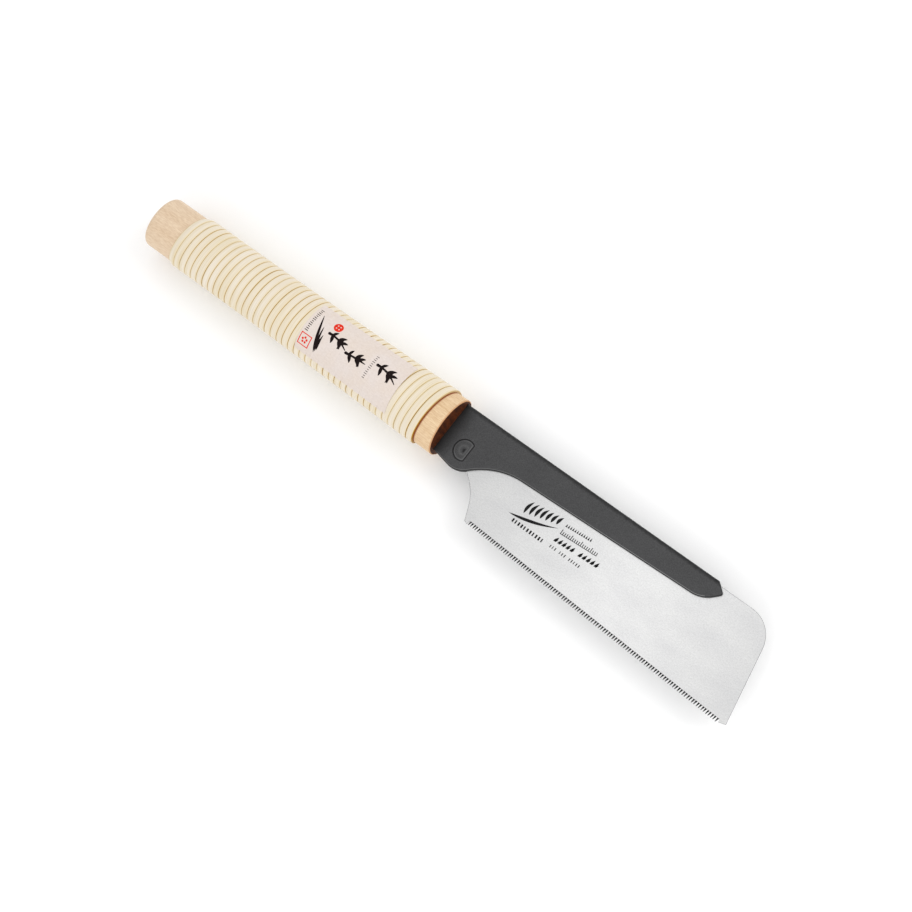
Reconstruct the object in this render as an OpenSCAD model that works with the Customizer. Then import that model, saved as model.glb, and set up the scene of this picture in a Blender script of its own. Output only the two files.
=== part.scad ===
// Japanese-style backed saw lying on its side: a folded steel back carries a thin
// replaceable pull-stroke blade, and a split wooden handle is bound with two cane strips.
// +X runs along the saw towards the toe of the blade, +Y towards the back, +Z up.
// Every shape is drawn around the handle's axis, with x = 0 at the handle's front face,
// and placed() then moves it so that the origin is the middle of the base of its box.

/* [Handle] */
// Length of the wooden handle
handle_len = 194; // [150:1:230]
// Half width of the bare wood at the butt
wood_butt = 13.9; // [12:0.1:16]
// Half width of the bare wood at the front face
wood_front = 15.75; // [14:0.05:18]
// Thickness of the handle's oval as a share of its width
oval = 0.8; // [0.7:0.01:0.95]
// Length of the swelling from the waist to the front face
swell_len = 130; // [60:1:140]
// Radius rounding the edge of the butt
butt_round = 3; // [1:0.5:6]
// Radius rounding the edge of the front face
front_round = 0.5; // [0.2:0.1:1]

/* [Cane wrap] */
// Bare wood left at the butt, on the underside where both strips begin
butt_collar = 16.25; // [10:0.05:20]
// Turns of each strip; both strips end on the underside too
wrap_turns = 21; // [15:1:21]
// Width of one cane strip
strip_w = 3.84; // [3:0.02:3.88]
// Advance of one strip in one turn; two strips are wound side by side
strip_lead = 7.84; // [7.84:0.01:7.95]
// Thickness of a strip at its crown
strip_t = 1.3; // [0.8:0.05:1.6]
// Thickness of a strip at its edges
strip_edge_t = 1.05; // [0.5:0.05:1.5]

/* [Label] */
// Distance of the label's front end from the front face
label_front = 28.5; // [15:0.5:60]
// Length of the label
label_len = 60; // [30:1:80]
// Half of the angle that the label wraps round the handle
label_half_angle = 53; // [46:1:59]
// Thickness of the paper
label_t = 0.12; // [0.08:0.01:0.3]

/* [Back] */
// Thickness of the folded back across both cheeks
back_t = 2.7; // [2.2:0.1:3.2]
// Gap between the cheeks, which takes the blade
slot_w = 0.4; // [0.36:0.01:0.6]
// Height of the back's top edge above the handle's axis, at the handle
top_at_handle = 14.15; // [13.5:0.05:15]
// Height of the back's top edge above the handle's axis, at the nose
top_at_nose = 14.8; // [14:0.05:15.5]
// Depth of the neck below the handle's axis, at the handle
neck_depth = 13.2; // [12:0.1:14]
// Distance of the nose's upper corner from the front face
nose_x = 150.9; // [140:0.1:160]
// Length of the tang inside the handle
tang_len = 62; // [50:1:80]
// Half height of the tang at the handle's front face
tang_front = 7.5; // [6:0.5:9]
// Half height of the tang at its end
tang_end = 4; // [3:0.5:5]

/* [Hook stud] */
// Distance of the stud's centre from the front face
stud_x = 12.9; // [12:0.1:14]
// Height of the stud's centre above the handle's axis
stud_y = -5.1; // [-6:0.1:-4.5]
// Radius of the stud's round side
stud_r = 5.2; // [4.5:0.1:5.5]
// Distance of the stud's flat from its centre
stud_flat = 2.7; // [2.2:0.1:3]
// How far the stud stands proud of each cheek
stud_proud = 0.12; // [0.05:0.01:0.3]

/* [Blade] */
// Thickness of the blade
blade_t = 0.3; // [0.25:0.01:0.34]
// Distance of the toe's tip from the front face
toe_x = 193.4; // [180:0.1:200]
// Depth of the toe's tip below the handle's axis
toe_depth = 36.3; // [30:0.1:40]
// Distance of the heel's corner from the front face
heel_x = 34.6; // [30:0.1:36]
// Depth of the heel's corner below the handle's axis
heel_depth = 31.9; // [28:0.1:35]
// Distance from the front face at which the toothed edge begins
edge_start_x = 36.4; // [36:0.1:38]
// Depth of the tooth tips where the toothed edge begins
edge_start_depth = 32.4; // [30:0.1:35]
// Distance from the front face at which the toothed edge ends
edge_end_x = 190; // [189.5:0.1:191]
// Depth of the tooth tips where the toothed edge ends
edge_end_depth = 38; // [35:0.1:40]
// Radius of the toe's upper corner
toe_round = 15.5; // [8:0.5:18]
// Distance from one tooth to the next
tooth_pitch = 1.4; // [1.2:0.05:2]
// Height of a tooth
tooth_h = 2.1; // [1:0.05:2.2]
// Number of teeth
teeth = 109; // [60:1:109]
// Swing at which the hook comes free of the stud, in degrees
release_swing = 25; // [15:1:30]

/* [Hidden] */

round_fn = 64;            // facets drawn on a full circle
step_angle = 15;          // angle between the lengthwise lines of the handle, the wrap and the label
skin_gap = 0.03;          // clearance between wood, cane and paper
fit_gap = 0.03;           // clearance of the tang, pins and stud in their seats
seat_gap = 0.08;          // radial clearance of the blade's hook on the stud
through = 60;             // length that passes right through the saw
lobe_r = 8.6;             // radius of the blade's hook around the stud
slot_start = 3.5;         // distance of the slot's closed end from the front face
fold_gap = 0.4;           // space between the blade's top edge and the inside of the fold
pin_r = 1.5;              // radius of the tang pins
pin_x = [-15, -45];       // places of the tang pins
pin_inset = 0.6;          // depth of the pins' ends below the bare wood
dimple_r = 0.7;           // radius of the centre punch mark on the stud
dimple_depth = 0.4;       // depth of the centre punch mark
underside = 270;          // angle at which the strips begin and end
waist = wood_front - wood_butt;
cheek_t = (back_t - slot_w) / 2;
top_slope = (top_at_nose - top_at_handle) / nose_x;
wrap_start = -handle_len + butt_collar;
last_crest_x = wrap_start + strip_lead * (wrap_turns + 0.5);
last_base_x = wrap_start + strip_lead * (wrap_turns + 0.75);
seat_r = stud_r + seat_gap;
wrap_half_y = wood_half(last_crest_x) + strip_t;
wrap_half_z = wood_half(last_base_x) * oval + strip_t;
edge_dir = unit([edge_end_x - edge_start_x, edge_start_depth - edge_end_depth]);
edge_down = [edge_dir.y, -edge_dir.x];
first_gullet = 0.5;       // distance of the first gullet from the start of the toothed edge
tooth_lean = 0.3;         // how far a tooth's tip leans back towards the handle
blunt_h = 0.6;            // height of the blunt corner after the last tooth above the tips' line
lowest_y = edge_point(tip_place(teeth - 1), 0).y;
origin = [(toe_x - handle_len) / 2, (wrap_half_y + lowest_y) / 2, -wrap_half_z];

// Half width of the bare wood at x, with the rounded edges of both ends left out
function wood_half(x) = wood_butt + waist * pow(max(0, x + swell_len) / swell_len, 1.4);

// Inset of a rounded edge of radius r at distance d from the end
function edge_inset(r, d) = d >= r ? 0 : r - sqrt(r * r - pow(r - d, 2));

// Inset of the wood at x, from the rounding at the butt and at the front face
function wood_inset(x) = edge_inset(butt_round, x + handle_len) + edge_inset(front_round, -x);

// Point on the oval at x, raised by h from the bare wood, at an angle from +Y towards +Z
function on_oval(x, h, angle) = [x, (wood_half(x) + h) * cos(angle), (wood_half(x) * oval + h) * sin(angle)];

// Places along the handle at which the wood's section is drawn
rounding_steps = [0, 0.05, 0.2, 0.45, 0.75, 1];
wood_stations = concat(
    [for (k = rounding_steps) -handle_len + butt_round * k],
    [for (x = [-180 : 15 : -15]) x],
    [for (k = [5 : -1 : 0]) -front_round * rounding_steps[k]]);

// Triangles of a closed skin through rings of n points each
function skin_faces(rings, n) = concat(
    [for (i = [0 : rings - 2]) for (j = [0 : n - 1]) [i * n + j, i * n + (j + 1) % n, (i + 1) * n + j]],
    [for (i = [0 : rings - 2]) for (j = [0 : n - 1])
        [i * n + (j + 1) % n, (i + 1) * n + (j + 1) % n, (i + 1) * n + j]],
    [[for (j = [n - 1 : -1 : 0]) j]],
    [[for (j = [0 : n - 1]) (rings - 1) * n + j]]);

module skin(rings) {
    n = len(rings[0]);
    polyhedron([for (ring = rings) each ring], skin_faces(len(rings), n));
}

// Outline through corners [x, y, radius], each rounded by a tangent arc of its radius
function unit(v) = v / norm(v);
function turn_of(p, a, b) = acos(max(-1, min(1, unit(a - p) * unit(b - p))));
function arc_points(p, a, b, r) =
    r == 0 ? [p] :
    let (half = turn_of(p, a, b) / 2,
         centre = p + unit(unit(a - p) + unit(b - p)) * r / sin(half),
         start = p + unit(a - p) * r / tan(half),
         stop = p + unit(b - p) * r / tan(half),
         a0 = atan2(start.y - centre.y, start.x - centre.x),
         a1 = atan2(stop.y - centre.y, stop.x - centre.x),
         sweep = (a1 - a0 + 540) % 360 - 180,
         steps = max(3, ceil(abs(sweep) / 4)))
    [for (i = [0 : steps]) centre + r * [cos(a0 + sweep * i / steps), sin(a0 + sweep * i / steps)]];
function rounded(corners, first = 0, last = undef) =
    let (n = len(corners), xy = [for (c = corners) [c[0], c[1]]])
    [for (i = [first : is_undef(last) ? n - 1 : last])
        each arc_points(xy[i], xy[(i + n - 1) % n], xy[(i + 1) % n], corners[i][2])];

function top_edge(x) = top_at_handle + top_slope * x;

// Corners of the tang, grown by a clearance
function tang_corners(gap) = [
    [0, tang_front + gap, 0],
    [-tang_len - gap, tang_end + gap, 2],
    [-tang_len - gap, -tang_end - gap, 2],
    [0, -tang_front - gap, 0]];

// Side view of the back: tang, neck with its lobe below the stud, long cheeks and nose
back_corners = concat(
    [[0, top_at_handle, 0]],
    tang_corners(0),
    [[0, -neck_depth, 0],
     [stud_x + 3.2, -neck_depth - 3, 12],
     [stud_x + 18.3, -1.8, 38.2],
     [nose_x - 1.6, 3, 15],
     [nose_x + 5.5, 10.5, 1.2],
     [nose_x, top_at_nose, 0.6]]);

// Side view of the blade without its teeth and hook; the teeth come between corners 3 and 4
plate_left = stud_x + 4.6;
toe_corner_x = toe_x - 10.1;
plate_corners = [
    [plate_left, -10.4, 0],
    [28.9, -19, 27],
    [heel_x, -heel_depth, 0],
    [edge_start_x, -edge_start_depth, 0],
    [edge_end_x, blunt_h - edge_end_depth, 0],
    [toe_x, -toe_depth, 0],
    [toe_corner_x, top_edge(toe_corner_x) - cheek_t - fold_gap, toe_round],
    [plate_left, top_edge(plate_left) - cheek_t - fold_gap, 2]];

// Point on the toothed edge, at a distance from its start and below the line of the tips
function edge_point(along, below) =
    [edge_start_x, -edge_start_depth] + edge_dir * along + edge_down * below;

// Place of tooth i's tip along the edge
function tip_place(i) = first_gullet + (i + 0.5) * tooth_pitch - tooth_lean;

// Teeth along the edge from the heel towards the toe
tooth_points = [for (i = [0 : teeth]) each [
    edge_point(first_gullet + i * tooth_pitch, -tooth_h),
    if (i < teeth) edge_point(tip_place(i), 0)]];

module placed() {
    translate(-origin) children();
}

module d_outline(gap) {
    intersection() {
        circle(r = stud_r + gap, $fn = round_fn);
        translate([-2 * stud_r, -2 * stud_r]) square([2 * stud_r + stud_flat + gap, 4 * stud_r]);
    }
}

module tang_pin_bores(r) {
    for (x = pin_x) {
        translate([x, 0, -through / 2]) cylinder(r = r, h = through, $fn = round_fn);
    }
}

// One half of the handle: up is 1 for the upper half and -1 for the lower
module wood_half_solid(up) {
    angles = [for (a = [0 : step_angle : 180]) a * up];
    rings = [for (x = wood_stations) [for (a = angles) on_oval(x, -wood_inset(x), a)]];
    difference() {
        skin(up > 0 ? rings : [for (ring = rings) [for (j = [len(ring) - 1 : -1 : 0]) ring[j]]]);
        linear_extrude(height = back_t + 2 * fit_gap, center = true) polygon(rounded(tang_corners(fit_gap)));
        tang_pin_bores(pin_r);
    }
}

module handle_half_upper() {
    color("burlywood") placed() wood_half_solid(1);
}

module handle_half_lower() {
    color("tan") placed() wood_half_solid(-1);
}

module tang_pins() {
    color("gray") placed() for (x = pin_x) {
        half_len = wood_half(x) * oval - pin_inset;
        translate([x, 0, -half_len]) cylinder(r = pin_r - fit_gap, h = 2 * half_len, $fn = round_fn);
    }
}

// Section of a cane strip between x = left and x = right, at one angle round the handle
function strip_section(left, right, angle) = [
    on_oval(left, skin_gap, angle),
    on_oval(left, strip_edge_t, angle),
    on_oval((left + right) / 2, strip_t, angle),
    on_oval(right, strip_edge_t, angle),
    on_oval(right, skin_gap, angle)];

// A strip winds left-handed from the butt to the front, from underside to underside
module wrap_strip(offset) {
    steps = wrap_turns * 360 / step_angle;
    skin([for (i = [0 : steps])
        let (left = wrap_start + offset + strip_lead * wrap_turns * i / steps)
        strip_section(left, left + strip_w, underside - i * step_angle)]);
}

module wrap_strip_a() {
    color("wheat") placed() wrap_strip(0);
}

module wrap_strip_b() {
    color("blanchedalmond") placed() wrap_strip(strip_lead / 2);
}

module label() {
    half = label_half_angle;
    angles = concat([90 - half], [for (a = [45 : step_angle : 135]) a], [90 + half]);
    xs = [for (k = [0 : 8]) -label_front - label_len + label_len * k / 8];
    color("linen") placed() skin([for (x = xs) concat(
        [for (a = angles) on_oval(x, strip_t + skin_gap, a)],
        [for (j = [len(angles) - 1 : -1 : 0]) on_oval(x, strip_t + skin_gap + label_t, angles[j])])]);
}

// Bar with a half-round top edge, which follows the slope of the back's top edge
module fold_bar(x0, x1) {
    r = back_t / 2;
    translate([0, top_at_handle, 0]) rotate([0, 0, atan(top_slope)]) {
        translate([x0, -r, 0]) rotate([0, 90, 0]) cylinder(r = r, h = x1 - x0, $fn = round_fn);
        translate([x0, -through, -r]) cube([x1 - x0, through - r, back_t]);
    }
}

module back() {
    color("dimgray") placed() difference() {
        intersection() {
            linear_extrude(height = back_t, center = true) polygon(rounded(back_corners));
            fold_bar(-tang_len - 2, nose_x + 10);
        }
        translate([0, top_at_handle, 0]) rotate([0, 0, atan(top_slope)])
            translate([slot_start, -through - cheek_t, -slot_w / 2]) cube([2 * nose_x, through, slot_w]);
        translate([stud_x, stud_y, -through / 2]) linear_extrude(height = through) d_outline(fit_gap);
        tang_pin_bores(pin_r);
    }
}

module hook_stud() {
    half_len = back_t / 2 + stud_proud;
    color("slategray") placed() translate([stud_x, stud_y, 0]) difference() {
        linear_extrude(height = 2 * half_len, center = true) d_outline(0);
        for (side = [0, 180]) {
            rotate([side, 0, 0]) translate([0, 0, half_len - dimple_depth])
                cylinder(r1 = 0, r2 = dimple_r, h = dimple_depth, $fn = round_fn);
        }
    }
}

// The hook is a round seat that opens along a way as wide as the stud is across its flat,
// so the blade lifts off only when it has swung out by release_swing
module blade() {
    color("gainsboro") placed() difference() {
        linear_extrude(height = blade_t, center = true) union() {
            polygon(concat(rounded(plate_corners, 0, 3), tooth_points, rounded(plate_corners, 4)));
            translate([stud_x, stud_y]) circle(r = lobe_r, $fn = round_fn);
        }
        translate([stud_x, stud_y, -through / 2]) cylinder(r = seat_r, h = through, $fn = round_fn);
        translate([stud_x, stud_y, -through / 2]) rotate([0, 0, release_swing])
            translate([-stud_r - fit_gap, 0, 0])
                cube([stud_r + stud_flat + 2 * fit_gap, 2 * lobe_r, through]);
    }
}

handle_half_upper();
handle_half_lower();
tang_pins();
wrap_strip_a();
wrap_strip_b();
label();
back();
hook_stud();
blade();
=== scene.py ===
import math

import bmesh
import bpy
import numpy as np
from mathutils import Matrix, Vector, noise


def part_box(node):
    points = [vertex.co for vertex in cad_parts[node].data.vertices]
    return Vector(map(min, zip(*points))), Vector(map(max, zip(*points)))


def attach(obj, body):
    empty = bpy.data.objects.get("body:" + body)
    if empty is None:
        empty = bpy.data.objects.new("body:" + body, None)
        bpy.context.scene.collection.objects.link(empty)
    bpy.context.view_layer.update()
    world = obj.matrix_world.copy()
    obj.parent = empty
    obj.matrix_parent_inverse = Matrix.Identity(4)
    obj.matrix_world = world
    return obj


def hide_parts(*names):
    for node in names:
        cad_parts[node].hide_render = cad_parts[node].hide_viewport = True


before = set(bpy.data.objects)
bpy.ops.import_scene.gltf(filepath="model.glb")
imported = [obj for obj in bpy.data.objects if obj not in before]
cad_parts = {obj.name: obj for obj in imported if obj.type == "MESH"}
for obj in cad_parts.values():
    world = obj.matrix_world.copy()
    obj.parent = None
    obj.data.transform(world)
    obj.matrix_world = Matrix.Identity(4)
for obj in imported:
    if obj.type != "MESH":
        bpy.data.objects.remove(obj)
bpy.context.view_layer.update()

MM = 0.001

# ---------------------------------------------------------------- places taken from the frame
wood_low, wood_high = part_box("handle_half_upper")
wrap_low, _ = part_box("wrap_strip_a")
back_low, back_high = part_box("back")
stud_low, stud_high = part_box("hook_stud")
blade_low, blade_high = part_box("blade")
label_low, label_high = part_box("label")

FRONT_X = wood_high[0]
AXIS_Y = (wood_low[1] + wood_high[1]) / 2
MID_Z = wood_low[2]


def at(x, y, z=0.0):
    """Row-frame point in metres for a point in millimetres round the handle's axis."""
    return (FRONT_X + x * MM, AXIS_Y + y * MM, MID_Z + z * MM)


def mm_x(value):
    return (value - FRONT_X) / MM


def mm_y(value):
    return (value - AXIS_Y) / MM


HANDLE_LEN = -mm_x(wood_low[0])
WOOD_FRONT = (wood_high[1] - wood_low[1]) / 2 / MM
OVAL = (wood_high[2] - MID_Z) / MM / WOOD_FRONT
WOOD_BUTT = 13.9          # half width of the bare wood at the butt
SWELL_LEN = 130.0         # length of the swelling towards the front face
BUTT_ROUND = 3.0
FRONT_ROUND = 0.5
WRAP_START = mm_x(wrap_low[0])
LEAD = 7.84              # advance of one strip in one turn
TURNS = 21               # turns of each strip, from underside to underside
TANG = (62.0, 7.5, 4.0)   # length, half height at the front face, half height at the end
BACK_T = (back_high[2] - back_low[2]) / MM
SLOT_W = 0.4
SLOT_START = 3.5         # closed end of the slot, from the front face
NECK_DEPTH = 13.2
SEAT_GAP = 0.03          # clearance of the tang in its groove
TOP_AT_HANDLE = 14.15
TOP_AT_NOSE = 14.8
NOSE_X = 150.9
STUD_R = (stud_high[1] - stud_low[1]) / 2 / MM
STUD_X = mm_x(stud_low[0]) + STUD_R
STUD_Y = mm_y((stud_low[1] + stud_high[1]) / 2)
STUD_FLAT = mm_x(stud_high[0]) - STUD_X
BLADE_T = (blade_high[2] - blade_low[2]) / MM
TOE_X = mm_x(blade_high[0])
TOE_DEPTH = 36.3
HEEL = (34.6, -31.9)
EDGE_START = (36.4, -32.4)   # ends of the line of the tooth tips
EDGE_END = (190.0, -38.0)
TEETH = 109
TOOTH_PITCH = 1.4
TOOTH_H = 2.1
FIRST_GULLET = 0.5       # distance of the first gullet from the start of the line
TOOTH_LEAN = 0.3
TOOTH_FOOT = 0.2         # distance from a gullet to the root of its tooth
ROOT_W = 1.0
TIP_FLAT = 0.28
TOOTH_BEVEL = 0.14       # ground off one side of each tooth
TOOTH_SET = 0.07         # the tips stand this far out, to alternate sides
EDGE_BEVEL = 0.14        # softened edge of the rest of the plate
PLATE_REACH = 4.6        # the plate begins this far in front of the stud's middle
BLUNT_H = 0.6            # blunt corner after the last tooth, above the line of the tips
FOLD_DEPTH = 1.55        # the plate's top edge lies this far below the back's top edge


def wood_half(x):
    """Half width of the bare wood at x, without its rounded ends."""
    return WOOD_BUTT + (WOOD_FRONT - WOOD_BUTT) * (max(0.0, x + SWELL_LEN) / SWELL_LEN) ** 1.4


def on_oval(x, h, angle):
    """Point of the oval at x, raised by h from the wood, at an angle in degrees from +Y to +Z."""
    a = math.radians(angle)
    half = wood_half(x)
    return (x, (half + h) * math.cos(a), (half * OVAL + h) * math.sin(a))


def smoothstep(low, high, value):
    t = min(1.0, max(0.0, (value - low) / (high - low)))
    return t * t * (3 - 2 * t)


# ---------------------------------------------------------------- outlines
def unit(x, y):
    n = math.hypot(x, y)
    return x / n, y / n


def rounded(corners, degrees=3.0):
    """Points through corners (x, y, radius), each rounded by a tangent arc."""
    points = []
    count = len(corners)
    for i, (px, py, r) in enumerate(corners):
        ax, ay = unit(corners[i - 1][0] - px, corners[i - 1][1] - py)
        bx, by = unit(corners[(i + 1) % count][0] - px, corners[(i + 1) % count][1] - py)
        if r == 0:
            points.append((px, py))
            continue
        half = math.acos(max(-1, min(1, ax * bx + ay * by))) / 2
        mx, my = unit(ax + bx, ay + by)
        cx, cy = px + mx * r / math.sin(half), py + my * r / math.sin(half)
        reach = r / math.tan(half)
        a0 = math.degrees(math.atan2(py + ay * reach - cy, px + ax * reach - cx))
        a1 = math.degrees(math.atan2(py + by * reach - cy, px + bx * reach - cx))
        sweep = (a1 - a0 + 540) % 360 - 180
        points += arc((cx, cy), r, a0, a0 + sweep, max(3, math.ceil(abs(sweep) / degrees)))
    return points


def arc(centre, r, a0, a1, steps):
    """steps + 1 points of a circle from angle a0 to a1, in degrees."""
    return [(centre[0] + r * math.cos(math.radians(a0 + (a1 - a0) * k / steps)),
             centre[1] + r * math.sin(math.radians(a0 + (a1 - a0) * k / steps))) for k in range(steps + 1)]


def divided(points, longest):
    """The same closed outline with no side longer than longest."""
    out = []
    for (x0, y0), (x1, y1) in zip(points, points[1:] + points[:1]):
        pieces = max(1, math.ceil(math.hypot(x1 - x0, y1 - y0) / longest))
        out += [(x0 + (x1 - x0) * k / pieces, y0 + (y1 - y0) * k / pieces) for k in range(pieces)]
    return out


# ---------------------------------------------------------------- materials
def linear(r, g, b):
    """Linear colour of an sRGB colour given as 0 to 255."""
    def channel(c):
        return c / 255 / 12.92 if c <= 10 else ((c / 255 + 0.055) / 1.055) ** 2.4

    return channel(r), channel(g), channel(b), 1.0


class Nodes:
    """Small helper that writes a Principled material's node tree."""

    def __init__(self, name, color, roughness, metallic=0.0, specular=0.5):
        self.mat = bpy.data.materials.new(name)
        self.mat.use_nodes = True
        self.tree = self.mat.node_tree
        self.bsdf = self.tree.nodes["Principled BSDF"]
        self.bsdf.inputs["Base Color"].default_value = color
        self.bsdf.inputs["Roughness"].default_value = roughness
        self.bsdf.inputs["Metallic"].default_value = metallic
        self.bsdf.inputs["Specular IOR Level"].default_value = specular

    def add(self, kind, **settings):
        node = self.tree.nodes.new(kind)
        for key, value in settings.items():
            setattr(node, key, value)
        return node

    def link(self, source, target):
        self.tree.links.new(source, target)

    def coords(self, scale=(1, 1, 1), kind="Object"):
        source = self.add("ShaderNodeTexCoord")
        mapping = self.add("ShaderNodeMapping")
        mapping.inputs["Scale"].default_value = scale
        self.link(source.outputs[kind], mapping.inputs["Vector"])
        return mapping.outputs["Vector"]

    def noise(self, vector, scale, detail=3.0, roughness=0.55):
        node = self.add("ShaderNodeTexNoise")
        node.inputs["Scale"].default_value = scale
        node.inputs["Detail"].default_value = detail
        node.inputs["Roughness"].default_value = roughness
        self.link(vector, node.inputs["Vector"])
        return node.outputs["Fac"]

    def ramp(self, value, stops):
        """Colour or value from stops [(position, colour or number), ...]."""
        node = self.add("ShaderNodeValToRGB")
        elements = node.color_ramp.elements
        while len(elements) < len(stops):
            elements.new(0.5)
        for element, (position, colour) in zip(elements, stops):
            element.position = position
            element.color = colour if isinstance(colour, tuple) else (colour, colour, colour, 1)
        self.link(value, node.inputs["Fac"])
        return node.outputs["Color"]

    def mix(self, factor, a, b, blend="MIX"):
        node = self.add("ShaderNodeMix", data_type="RGBA", blend_type=blend)
        for socket, value in ((node.inputs["Factor"], factor), (node.inputs[6], a), (node.inputs[7], b)):
            if isinstance(value, bpy.types.NodeSocket):
                self.link(value, socket)
            else:
                socket.default_value = value
        return node.outputs[2]

    def math(self, operation, a, b=0.0, clamp=False):
        node = self.add("ShaderNodeMath", operation=operation, use_clamp=clamp)
        for socket, value in ((node.inputs[0], a), (node.inputs[1], b)):
            if isinstance(value, bpy.types.NodeSocket):
                self.link(value, socket)
            else:
                socket.default_value = value
        return node.outputs[0]

    def axis(self, vector, name):
        node = self.add("ShaderNodeSeparateXYZ")
        self.link(vector, node.inputs[0])
        return node.outputs[name]

    def bump(self, height, strength, distance):
        node = self.add("ShaderNodeBump")
        node.inputs["Strength"].default_value = strength
        node.inputs["Distance"].default_value = distance
        self.link(height, node.inputs["Height"])
        self.link(node.outputs["Normal"], self.bsdf.inputs["Normal"])

    def color(self, value):
        self.link(value, self.bsdf.inputs["Base Color"])

    def roughness(self, value):
        self.link(value, self.bsdf.inputs["Roughness"])


def wood_material():
    n = Nodes("bare_wood", linear(233, 205, 170), 0.5, specular=0.35)
    grain = n.noise(n.coords((30, 1100, 1100)), 1.0, 4.0, 0.6)
    figure = n.noise(n.coords((10, 160, 160)), 1.0, 2.0, 0.5)
    fleck = n.noise(n.coords((420, 2600, 2600)), 1.0, 2.0, 0.5)
    front = n.ramp(grain, [(0.3, linear(210, 180, 139)), (0.7, linear(235, 213, 178))])
    butt = n.ramp(grain, [(0.3, linear(214, 196, 173)), (0.7, linear(223, 206, 184))])
    place = n.coords((1000, 1000, 1000))
    x = n.math("SUBTRACT", n.axis(place, "X"), FRONT_X / MM)
    tone = n.mix(n.math("DIVIDE", x, -HANDLE_LEN, clamp=True), front, butt)
    tone = n.mix(0.2, tone, n.ramp(figure, [(0.35, linear(212, 180, 142)), (0.65, linear(238, 216, 188))]))
    flecked = n.ramp(fleck, [(0.4, linear(205, 170, 130)), (0.6, linear(250, 238, 222))])
    tone = n.mix(0.35, tone, flecked, "MULTIPLY")
    # painted shade along the foot of the last strip, which follows the winding: the wood darkens where the
    # strip's raised edge shades it
    y = n.math("SUBTRACT", n.axis(place, "Y"), AXIS_Y / MM)
    z = n.math("SUBTRACT", n.axis(place, "Z"), MID_Z / MM)
    round_angle = n.math("ARCTAN2", n.math("DIVIDE", z, OVAL), y)
    turn = n.math("FRACT", n.math("SUBTRACT", 0.75 + 1, n.math("DIVIDE", round_angle, 2 * math.pi)))
    foot = n.math("ADD", n.math("MULTIPLY", turn, LEAD), WRAP_START + LEAD * TURNS)
    beyond = n.math("ABSOLUTE", n.math("SUBTRACT", x, foot))
    dark = n.ramp(n.math("DIVIDE", beyond, 1.6, clamp=True), [(0.28, 0.97), (0.7, 0.0)])
    tone = n.mix(dark, tone, linear(132, 56, 8))
    rim = n.ramp(n.math("DIVIDE", x, -1.0, clamp=True), [(0.25, 0.6), (0.8, 0.0)])
    n.color(n.mix(rim, tone, linear(176, 112, 58)))
    n.roughness(n.ramp(grain, [(0.2, 0.6), (0.8, 0.48)]))
    n.bump(grain, 0.25, 0.00006)
    return n.mat


def stain_material():
    n = Nodes("stained_end_grain", linear(84, 40, 14), 0.55, specular=0.3)
    pores = n.noise(n.coords((1, 1, 1)), 1900.0, 3.0, 0.6)
    rings = n.noise(n.coords((60, 420, 160)), 1.0, 3.0, 0.55)
    tone = n.ramp(pores, [(0.35, linear(32, 9, 1)), (0.7, linear(96, 42, 7))])
    n.color(n.mix(0.5, tone, n.ramp(rings, [(0.35, linear(24, 6, 1)), (0.7, linear(102, 48, 10))])))
    n.bump(pores, 0.35, 0.00006)
    return n.mat


def cane_material(name, tint):
    """Peeled cane; the UV map runs along the strip in metres and across it from 0 to 1."""
    n = Nodes(name, linear(240, 230, 205), 0.4, specular=0.4)
    uv = n.coords(kind="UV")
    fibres = n.noise(n.coords((18, 14, 1), "UV"), 1.0, 5.0, 0.7)
    slow = n.noise(n.coords((26, 0.4, 1), "UV"), 1.0, 2.0, 0.5)
    streak = n.noise(n.coords((45, 9, 1), "UV"), 1.0, 2.0, 0.5)
    skin = n.ramp(fibres, [(0.32, linear(*[c - 24 for c in tint])), (0.66, linear(*[c + 4 for c in tint]))])
    skin = n.mix(0.35, skin, n.ramp(slow, [(0.35, linear(218, 202, 166)), (0.65, linear(230, 221, 212))]))
    skin = n.mix(0.3, skin, n.ramp(streak, [(0.4, linear(212, 194, 158)), (0.62, linear(232, 224, 210))]))
    across = n.math("ABSOLUTE", n.math("SUBTRACT", n.axis(uv, "Y"), 0.5))
    wobble = n.math("MULTIPLY", n.noise(n.coords((300, 1, 1), "UV"), 1.0, 2.0), 0.03)
    place = n.math("ADD", across, wobble)
    # towards both sides the strip turns a darker tan: partly the cane's own colour, partly painted shade
    # where it rounds off
    skin = n.mix(n.ramp(place, [(0.25, 0.0), (0.47, 0.6)]), skin, linear(216, 198, 150))
    # golden edges: the cane's own cut edges, made stronger on some turns as painted shade in the gaps between
    # strips
    strength = n.ramp(n.noise(n.coords((9, 0.1, 1), "UV"), 1.0, 2.0), [(0.42, 0.3), (0.56, 1.0)])
    edge = n.math("MULTIPLY", n.ramp(place, [(0.455, 0.0), (0.49, 1.0)]), strength)
    n.color(n.mix(edge, skin, linear(172, 127, 28)))
    n.roughness(n.ramp(fibres, [(0.3, 0.48), (0.7, 0.36)]))
    n.bump(fibres, 0.25, 0.00005)
    return n.mat


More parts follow.
